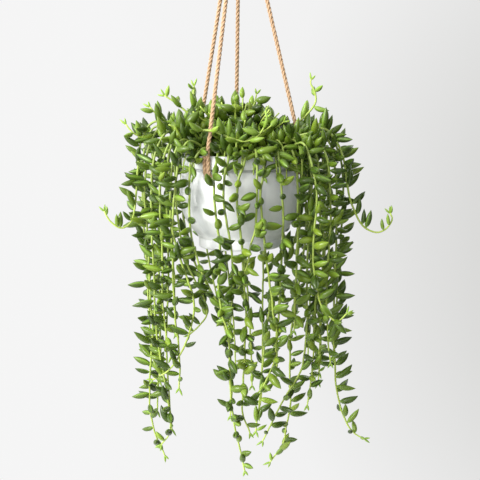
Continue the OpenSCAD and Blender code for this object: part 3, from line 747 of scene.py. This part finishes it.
LEFT = [
 [[-36,-12,-6],[-96,-16,40],[-120,-14,20],[-126,-14,-20],[-130,-14,-60],[-133,-14,-80],[-140,-14,-89],[-150,-14,-91],[-160,-14,-84],[-165,-14,-76],[-168,-14,-70]],
 [[-36,-6,-6],[-88,-10,36],[-112,-10,10],[-118,-10,-40],[-116,-10,-96],[-113,-10,-150],[-112,-10,-190],[-110,-10,-232],[-113,-10,-266],[-115,-10,-296],[-114,-10,-328],[-110,-10,-350],[-103,-10,-368],[-96,-10,-385]],
 [[-34,-18,-6],[-80,-34,30],[-102,-38,4],[-108,-38,-50],[-107,-38,-100],[-105,-38,-166],[-104,-36,-210],[-97,-34,-263],[-91,-32,-296],[-87,-30,-328],[-89,-30,-349],[-99,-30,-364]],
 [[-32,-24,-6],[-72,-46,24],[-92,-52,-4],[-96,-52,-60],[-94,-50,-110],[-94,-48,-146],[-94,-46,-178],[-91,-44,-214],[-85,-42,-248]],
 [[-30,-26,-6],[-66,-56,20],[-80,-62,-6],[-83,-62,-60],[-82,-60,-100],[-81,-58,-141],[-80,-56,-185],[-75,-54,-227],[-74,-52,-253],[-75,-50,-286]],
 [[-26,-32,-6],[-58,-62,18],[-72,-70,-4],[-78,-70,-50],[-80,-68,-88],[-76,-68,-108],[-64,-68,-144],[-56,-68,-173],[-58,-66,-200],[-71,-62,-237],[-87,-58,-261],[-107,-54,-274]],
 [[-36,20,-6],[-70,30,26],[-82,30,0],[-80,28,-80],[-68,22,-140],[-48,12,-180],[-42,6,-202],[-50,2,-216],[-65,0,-230]],
 [[-38,8,-6],[-100,22,34],[-120,24,8],[-124,24,-40],[-122,22,-100],[-118,20,-160],[-116,18,-220],[-114,16,-270]],
 [[-38,16,-6],[-92,44,38],[-110,50,10],[-113,50,-50],[-108,48,-120],[-104,46,-190],[-104,44,-255],[-106,42,-300]],
 [[-36,0,-6],[-84,4,34],[-98,4,6],[-100,4,-60],[-98,4,-130],[-100,4,-200],[-104,4,-260],[-106,4,-330]],
 [[-34,24,-6],[-80,60,30],[-92,68,4],[-92,68,-60],[-88,64,-130],[-86,60,-200],[-84,58,-240]],
 [[-30,-14,-6],[-66,-30,26],[-86,-34,4],[-89,-34,-60],[-88,-34,-120],[-90,-32,-190],[-92,-30,-250],[-88,-28,-310],[-86,-26,-345]]]
RIGHT = [
 [[38,-10,-6],[96,-20,32],[122,-20,8],[130,-20,-24],[134,-20,-48],[142,-20,-71],[153,-20,-89],[168,-20,-96],[180,-20,-92],[188,-20,-80],[185,-20,-72]],
 [[38,-4,-6],[92,-8,28],[114,-8,6],[120,-8,-50],[120,-8,-120],[118,-8,-180],[118,-8,-221],[120,-8,-264],[124,-8,-307],[133,-8,-336],[146,-8,-356],[159,-8,-363]],
 [[44,-20,-6],[76,-40,14],[86,-44,-20],[84,-44,-80],[82,-42,-150],[82,-40,-210],[78,-38,-258],[66,-38,-284],[52,-38,-308],[40,-38,-332],[28,-38,-357]],
 [[44,10,-6],[76,6,16],[86,4,-20],[84,0,-90],[74,-4,-160],[65,-8,-220],[63,-10,-273],[64,-10,-315],[60,-10,-341],[54,-12,-370],[38,-14,-392]],
 [[38,4,-6],[98,10,30],[121,12,8],[130,12,-40],[128,10,-100],[124,8,-160],[122,6,-220],[118,4,-262]],
 [[36,14,-6],[88,36,28],[108,42,6],[113,42,-50],[110,40,-120],[106,38,-190],[105,34,-250],[103,30,-286]],
 [[32,-18,-6],[80,-38,26],[104,-42,0],[110,-42,-60],[108,-42,-120],[106,-40,-180],[109,-38,-225],[112,-36,-258]],
 [[30,22,-6],[76,54,32],[96,66,6],[98,66,-60],[94,62,-130],[92,58,-200],[90,54,-270]],
 [[36,2,-6],[80,4,30],[102,6,4],[106,6,-70],[104,4,-140],[102,2,-210],[101,0,-250],[100,-2,-290]],
 [[34,-14,-6],[70,-34,22],[92,-40,0],[97,-40,-60],[96,-40,-130],[92,-38,-200],[90,-36,-260],[84,-34,-312]],
 [[30,28,-6],[66,64,28],[80,76,4],[80,76,-70],[76,72,-150],[70,66,-220]]]
BACK = [
 [[-20,36,-6],[-46,76,26],[-54,90,0],[-52,92,-60],[-46,86,-120],[-36,72,-170],[-24,58,-215]],
 [[-10,38,-6],[-24,82,26],[-28,98,0],[-26,100,-60],[-20,92,-130],[-12,76,-190],[-8,60,-240],[-6,52,-280]],
 [[2,38,-6],[2,84,28],[2,100,2],[2,102,-60],[4,94,-130],[10,78,-190],[14,62,-250],[16,54,-310]],
 [[14,38,-6],[28,82,26],[34,96,0],[34,98,-60],[32,90,-130],[30,76,-190],[30,60,-250],[28,52,-320],[24,48,-350]],
 [[24,34,-6],[50,74,26],[60,86,0],[60,88,-60],[56,80,-130],[52,68,-190],[50,56,-250],[48,50,-300]]]
MIDDLE = [
 [[34,20,-6],[66,40,22],[78,46,-20],[74,40,-100],[56,24,-150],[40,8,-190],[31,-8,-240],[26,-16,-300],[20,-20,-350]],
 [[-34,18,-6],[-66,40,20],[-76,44,-20],[-71,42,-100],[-58,30,-142],[-30,6,-190],[-15,-10,-235],[-10,-16,-290],[-12,-20,-330]]]
SPROUTS = [
 [[30,6,-6],[60,8,32],[76,4,42],[84,2,50],[93,0,62],[94,0,70],[91,0,79],[87,0,87],[88,0,92]],
 [[-34,-20,-4],[-52,-46,24],[-48,-62,30],[-32,-68,30],[-11,-72,22],[4,-73,18],[18,-72,22],[28,-68,34],[32,-64,46]],
 [[-34,-8,-6],[-80,-14,20],[-104,-14,16],[-116,-14,14],[-124,-14,22],[-131,-14,26],[-137,-14,32],[-140,-14,37]],
 [[-30,0,-6],[-66,4,26],[-92,6,36],[-104,6,48],[-112,6,58]],
 [[-24,6,-6],[-50,10,36],[-72,12,56],[-84,12,65],[-94,12,72]],
 [[-22,0,-6],[-44,2,24],[-56,2,46],[-58,2,60],[-57,2,84]]]


def leaf_way(p, t, k, seed, lift, fan, loose=1.5):
    flat = Vector((p.x + 1e-3 * math.sin(math.radians(seed * 50)), p.y - 1e-3 * math.cos(math.radians(seed * 50)), 0))
    o = flat.normalized()
    s = Vector((-o.y, o.x, 0))
    a = math.radians((1 if k % 2 == 0 else -1) * (fan + 40 * loose * (rnd(seed, k) - 0.5)) + 50 * loose * (rnd(seed + 7, k) - 0.5))
    e = math.radians(lift + 50 * loose * (rnd(seed + 3, k) - 0.5))
    h = o * math.cos(a) + s * math.sin(a)
    raw = h * math.cos(e) + Vector((0, 0, math.sin(e)))
    return (raw - t * raw.dot(t) * 0.35).normalized()


LEAF_T = [0.0, 0.05, 0.13, 0.25, 0.38, 0.52, 0.65, 0.77, 0.88, 0.96]
LEAF_R = [0.12, 0.36, 0.70, 0.93, 1.0, 0.97, 0.86, 0.64, 0.36, 0.13]
SIDES = 10


def leaf(b, p, d, length, dia, who, youth, bend, roll):
    """One plump pointed leaf from p along d. who picks its tone; bend is the angle it curves through, upwards for
    roll 0. Lengths in mm, p in m."""
    up = Vector((0, 0, 1))
    n = up - d * d.dot(up)
    if n.length < 0.05:
        n = Vector((d.y, -d.x, 0)) if abs(d.z) < 0.9 else Vector((1, 0, 0))
        n -= d * d.dot(n)
    n.normalize()
    n = Matrix.Rotation(roll, 3, d) @ n
    side = d.cross(n)
    step = length / 1000
    o = len(b.v)
    pos, ang, last = p.copy(), -bend * 0.35, 0.0
    ts = LEAF_T + [1.0]
    for i, t in enumerate(ts):
        ang_i = ang + bend * t
        dr = d * math.cos(ang_i) + n * math.sin(ang_i)
        pos = pos + dr * (t - last) * step
        last = t
        if i == len(ts) - 1:
            b.v.append(pos)
            b.a.append((who, 1.0, 0.0, youth))
            break
        nn = n * math.cos(ang_i) - d * math.sin(ang_i)
        r = dia / 2000 * LEAF_R[i]
        for k in range(SIDES):
            a = 2 * math.pi * k / SIDES
            c_, s_ = math.cos(a), math.sin(a)
            # the inner side is a little flatter
            rr = r * (1 - 0.10 * max(0, c_))
            b.v.append(pos + nn * c_ * rr + side * s_ * r)
            line = 1.0 if k == 0 and 0.1 < t < 0.93 else 0.0
            b.a.append((who, t, line, youth))
    for i in range(len(LEAF_T) - 1):
        for k in range(SIDES):
            x, y = o + i * SIDES + k, o + i * SIDES + (k + 1) % SIDES
            b.f.append((x, y, y + SIDES, x + SIDES))
            b.m.append(0)
    tip = o + len(LEAF_T) * SIDES
    for k in range(SIDES):
        b.f.append((o + (len(LEAF_T) - 1) * SIDES + k, o + (len(LEAF_T) - 1) * SIDES + (k + 1) % SIDES, tip))
        b.m.append(0)
    b.f.append(tuple(o + k for k in reversed(range(SIDES))))
    b.m.append(0)


def vine(b, route, seed, lift=28, pitch=12.5, first=26, fan=50, size=1, young=0.0, dense=1.0, taper=22, loose=2.2, curl=0, full=0, plump=1.0):
    R = Route(route)
    n = max(8, int(R.L / 3.2))
    P, rad = [], []
    for i in range(n + 1):
        s = R.L * i / n * 0.9999
        p = R.at(s)
        w = clamp(s / 40) * clamp((R.L - s) / 12 + 0.3)
        jig = Vector((noise.noise(Vector((s / 17, seed * 1.7, 0.3))), noise.noise(Vector((s / 17, seed * 1.7, 5.3))), 0)) * 1.1 * w
        P.append(mm(*(p + jig)))
        q = s / R.L
        node_ = 1 + 0.10 * max(0, math.sin(s * 2 * math.pi / pitch)) ** 3
        rad.append(STEM_D / 2000 * (1 - 0.35 * q * q) * node_ * (0.98 if size == 1 else 0.85))
    b.tube(P, rad, 8, mat=1, colour=lambda i, k: (rnd(seed, 400), i / n, 0, max(young * 0.7, 0.8 * clamp((i / n * R.L - R.L + 26) / 26))))
    pitch = pitch / dense
    run, k = first, -1
    while run < R.L + pitch:
        k += 1
        s = run + pitch * 0.9 * (rnd(seed + 5, k) - 0.5)
        # sparse where the vine crosses the pot, fuller below it
        run += pitch * (mix(1.0, mix(1.2, 0.82, clamp((s - 120) / 60)), full))
        if s >= R.L - 1:
            continue
        g = clamp((R.L - s) / taper)
        f = size * (0.54 + 0.46 * g) * (0.80 + 0.36 * rnd(seed + 1, k))
        w = clamp(s / 40) * clamp((R.L - s) / 12 + 0.3)
        jig = Vector((noise.noise(Vector((s / 17, seed * 1.7, 0.3))), noise.noise(Vector((s / 17, seed * 1.7, 5.3))), 0)) * 1.1 * w
        p, t = R.at(s), R.way(s)
        c = clamp((curl - R.L + s) / 25)
        d = leaf_way(p, t, k, seed, mix(lift + (1 - g) * 20, 78, c), fan, mix(loose, 0.9, c))
        p = p + jig + d * STEM_D / 2 * (1 - 0.35 * (s / R.L) ** 2) * 0.6
        who = clamp(rnd(seed + 11, k) * 0.75 + 0.25 * rnd(seed, 77))
        youth = max(young, 0.7 * clamp(1.15 - g * 1.6)) * (0.7 + 0.3 * rnd(seed + 13, k))
        bend = math.radians(10 + 26 * rnd(seed + 15, k))
        roll = math.radians(150 * (rnd(seed + 17, k) - 0.5))
        slim = 0.12 * (rnd(seed + 19, k) - 0.5)
        leaf(b, mm(*p), d, LEAF_LEN * f * (1.03 + slim) / plump ** 0.5, LEAF_DIA * f * (0.97 - slim) * plump, who, youth, bend, roll)
    # the growing tip ends in a pair of tiny leaves
    if size != 1 and seed % 4:
        return
    t, p = R.way(R.L * 0.995), P[-1]
    side = t.cross(Vector((0.3, 1, 0.2))).normalized()
    for sg in (-1, 1):
        d = (t + side * sg * (0.30 + 0.3 * rnd(seed + 21, sg))).normalized()
        leaf(b, p - t * 0.0008, d, 7.5 + 4 * rnd(seed + 23, sg), 2.6, 0.7, 0.75 if young else 0.45, 0.3, 1.2 * sg)


def crown(b, n, start, end, r0, r1, top0, top1, seed, dense=1.0):
    for i in range(n):
        a = start + (end - start) * (i + 0.5 + 0.5 * (rnd(seed, i) - 0.5)) / n
        q = i * 0.618034 - math.floor(i * 0.618034)
        r = r0 + (r1 - r0) * q
        h = top0 + (top1 - top0) * (1 - q) - 10 * rnd(seed + 2, i)
        u, w = out(a), along(a) * 24 * (rnd(seed + 4, i) - 0.5)
        z = Vector((0, 0, 1))
        vine(b, [u * r * 0.35 + z * (-SOIL_DROP - 2), u * r * 0.6 + w * 0.4 + z * h * 0.55, u * r + w + z * h],
             seed + 20 + i, lift=42, pitch=14, first=12, fan=75, size=1.12, young=0.0, dense=dense * 0.8, taper=14, loose=2.1, plump=1.3)


def plant_piece(name, fill):
    b = Build()
    fill(b)
    o = obj_from("plant_" + name, b.v, b.f, [MAT_LEAF, MAT_STEM], mat_index=b.m, attr={"leafdata": b.a})
    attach(o, "root")
    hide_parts(name)
    return o


FRONT_SET = [(15, 34)] + [(15, 44)] * 5 + [(15, 40), (14, 36), (14, 36)]
for i, (pitch, first) in enumerate(FRONT_SET):
    plant_piece(f"vine_front_{i + 1}", lambda b, i=i, pitch=pitch, first=first: vine(b, FRONT[i], 11 + i, lift=-4, pitch=pitch, fan=26, first=first, loose=2.2, dense=1.25, full=1, plump=1.13))
for i in range(12):
    plant_piece(f"vine_left_{i + 1}", lambda b, i=i: vine(b, LEFT[i], 31 + i, lift=20, loose=1.9, dense=1.05, taper=60 if i == 0 else 22, curl=70 if i == 0 else 0))
for i in range(11):
    plant_piece(f"vine_right_{i + 1}", lambda b, i=i: vine(b, RIGHT[i], 51 + i, lift=30, loose=1.9, dense=0.85 if i == 0 else 1.3, taper=70 if i == 0 else 22, curl=95 if i == 0 else 0))
for i in range(5):
    plant_piece(f"vine_back_{i + 1}", lambda b, i=i: vine(b, BACK[i], 71 + i, loose=2.2))
for i in range(2):
    plant_piece(f"vine_middle_{i + 1}", lambda b, i=i: vine(b, MIDDLE[i], 81 + i, loose=2.2, dense=1.2))
plant_piece("sprout_right", lambda b: vine(b, SPROUTS[0], 91, lift=20, young=0.55))
plant_piece("sprout_front", lambda b: vine(b, SPROUTS[1], 92, lift=30, young=0.45))
plant_piece("sprout_left", lambda b: vine(b, SPROUTS[2], 93, lift=15, young=0.45))


def top_left(b):
    vine(b, SPROUTS[3], 94, lift=30, young=0.35)
    vine(b, SPROUTS[4], 95, lift=30, young=0.35)
    vine(b, SPROUTS[5], 96, lift=40, young=0.35)


plant_piece("sprouts_top_left", top_left)


def rim_shoots(b, n, start, end, seed, reach=80.0, rise=15.0):
    """Short shoots that lean out over the rim and droop a little."""
    for i in range(n):
        a = start + (end - start) * (i + 0.5 + 0.6 * (rnd(seed, i) - 0.5)) / n
        u, w, z = out(a), along(a) * 14 * (rnd(seed + 4, i) - 0.5), Vector((0, 0, 1))
        r, h = reach - 8 * rnd(seed + 6, i), rise * (0.5 + 0.8 * rnd(seed + 2, i))
        vine(b, [u * 36 + z * (-SOIL_DROP - 2), u * 56 + w * 0.5 + z * h, u * (r - 7) + w + z * (h * 0.7 + 1), u * r + w * 1.3 + z * (-4 - 12 * rnd(seed + 8, i)), u * (r + 1) + w * 1.3 + z * (-14 - 16 * rnd(seed + 8, i))],
             seed + 20 + i, lift=4, pitch=10.5, first=18, fan=48, size=0.99, taper=16, loose=2.6)


def crown_front(b):
    crown(b, 9, -55, 55, 40, 70, 24, 48, 110, 1.4)
    rim_shoots(b, 3, -66, -40, 210)
    rim_shoots(b, 8, -24, 66, 240)


plant_piece("crown_front", crown_front)
plant_piece("crown_left", lambda b: crown(b, 9, -130, -50, 46, 102, 36, 64, 130, 1.4))


def crown_right(b):
    crown(b, 9, 50, 130, 46, 98, 16, 58, 150, 1.45)
    rim_shoots(b, 4, 62, 96, 270, reach=86, rise=18)
    vine(b, [(44, -16, -6), (62, -34, 18), (72, -46, 8), (74.5, -50, -8), (74, -50, -26)], 291, lift=10, pitch=8, first=14, fan=60, taper=16, loose=2.6)


plant_piece("crown_right", crown_right)
plant_piece("crown_back", lambda b: crown(b, 9, 120, 240, 46, 84, 34, 66, 170, 1.4))
plant_piece("crown_centre", lambda b: crown(b, 10, 0, 360, 12, 48, 58, 80, 190, 1.45))

# ---------------------------------------------------------------- floor, world and lights
FLOOR_Z = -1.25
bm = bmesh.new()
bmesh.ops.create_grid(bm, x_segments=2, y_segments=2, size=2.6)
me = bpy.data.meshes.new("floor")
bm.to_mesh(me)
bm.free()
floor = bpy.data.objects.new("floor", me)
scene.collection.objects.link(floor)
floor.location = (0, 0, FLOOR_Z)
m, nt, bs = new_mat("pale_floor")
tc = node(nt, "ShaderNodeTexCoord")
n1 = node(nt, "ShaderNodeTexNoise", Scale=2.0, Detail=3.0)
nt.links.new(tc.outputs["Object"], n1.inputs["Vector"])
c = ramp(nt, [(0.3, (0.80, 0.80, 0.80)), (0.7, (0.84, 0.84, 0.84))])
nt.links.new(n1.outputs[0], c.inputs[0])
nt.links.new(c.outputs[0], bs.inputs["Base Color"])
bs.inputs["Roughness"].default_value = 0.9
# the floor fades out into the background away from the middle
far = node(nt, "ShaderNodeVectorMath", operation="LENGTH")
nt.links.new(tc.outputs["Object"], far.inputs[0])
fade = ramp(nt, [(0.02, (0, 0, 0)), (0.125, (1, 1, 1))], "EASE")
nt.links.new(maths(nt, "MULTIPLY", far.outputs["Value"], 0.1), fade.inputs[0])
clear = node(nt, "ShaderNodeBsdfTransparent")
both = node(nt, "ShaderNodeMixShader")
nt.links.new(fade.outputs[0], both.inputs[0])
nt.links.new(bs.outputs[0], both.inputs[1])
nt.links.new(clear.outputs[0], both.inputs[2])
outn = [n for n in nt.nodes if n.type == "OUTPUT_MATERIAL"][0]
nt.links.new(both.outputs[0], outn.inputs["Surface"])
me.materials.append(m)

world = bpy.data.worlds.new("world")
scene.world = world
world.use_nodes = True
wt = world.node_tree
for n in list(wt.nodes):
    wt.nodes.remove(n)
wo = wt.nodes.new("ShaderNodeOutputWorld")
wtc = wt.nodes.new("ShaderNodeTexCoord")
split = wt.nodes.new("ShaderNodeSeparateXYZ")
wt.links.new(wtc.outputs["Generated"], split.inputs[0])
# what the camera sees behind the plant: near-white, a little greyer to the right
seen = ramp(wt, [(0.0, (0.915, 0.915, 0.915)), (0.45, (0.885, 0.885, 0.885)), (1.0, (0.700, 0.700, 0.688))])
right = maths(wt, "MULTIPLY", maths(wt, "ADD", split.outputs[0], 0.13), 2.9, True)
off = maths(wt, "MULTIPLY", maths(wt, "ADD", split.outputs[2], 0.125), 2.6)
level = maths(wt, "SUBTRACT", 1.0, maths(wt, "MULTIPLY", off, off), True)
wt.links.new(maths(wt, "MULTIPLY", right, maths(wt, "ADD", maths(wt, "MULTIPLY", level, 0.75), 0.25)), seen.inputs[0])
wb1 = wt.nodes.new("ShaderNodeBackground")
wt.links.new(seen.outputs[0], wb1.inputs["Color"])
# what lights the plant: soft, stronger from the upper left
key = wt.nodes.new("ShaderNodeVectorMath")
key.operation = "DOT_PRODUCT"
wt.links.new(wtc.outputs["Generated"], key.inputs[0])
key.inputs[1].default_value = (-0.80, -0.34, 0.50)
glow = ramp(wt, [(0.0, (0.060, 0.062, 0.064)), (0.42, (0.235, 0.238, 0.242)), (1.0, (2.6, 2.59, 2.55))])
wt.links.new(maths(wt, "ADD", maths(wt, "MULTIPLY", key.outputs["Value"], 0.5), 0.5), glow.inputs[0])
wb2 = wt.nodes.new("ShaderNodeBackground")
wb2.inputs["Strength"].default_value = 0.95
wt.links.new(glow.outputs[0], wb2.inputs["Color"])
ray = wt.nodes.new("ShaderNodeLightPath")
wmix = wt.nodes.new("ShaderNodeMixShader")
wt.links.new(ray.outputs["Is Camera Ray"], wmix.inputs[0])
wt.links.new(wb2.outputs[0], wmix.inputs[1])
wt.links.new(wb1.outputs[0], wmix.inputs[2])
wt.links.new(wmix.outputs[0], wo.inputs[0])


def area(name, loc, target, size, power, colour=(1, 1, 1)):
    d_ = bpy.data.lights.new(name, "AREA")
    d_.shape = "DISK"
    d_.size = size
    d_.energy = power
    d_.color = colour
    o = bpy.data.objects.new(name, d_)
    scene.collection.objects.link(o)
    o.location = loc
    o.rotation_euler = (Vector(target) - Vector(loc)).to_track_quat("-Z", "Y").to_euler()
    return o


area("key_light", (-2.1, -1.6, 0.5), (0, 0, -0.60), 1.5, 104, (1.0, 0.985, 0.96))
area("fill_light", (2.3, 1.5, 0.5), (0, 0, -0.55), 2.4, 46, (0.98, 0.99, 1.0))

scene.view_settings.view_transform = "Standard"
scene.view_settings.look = "None"
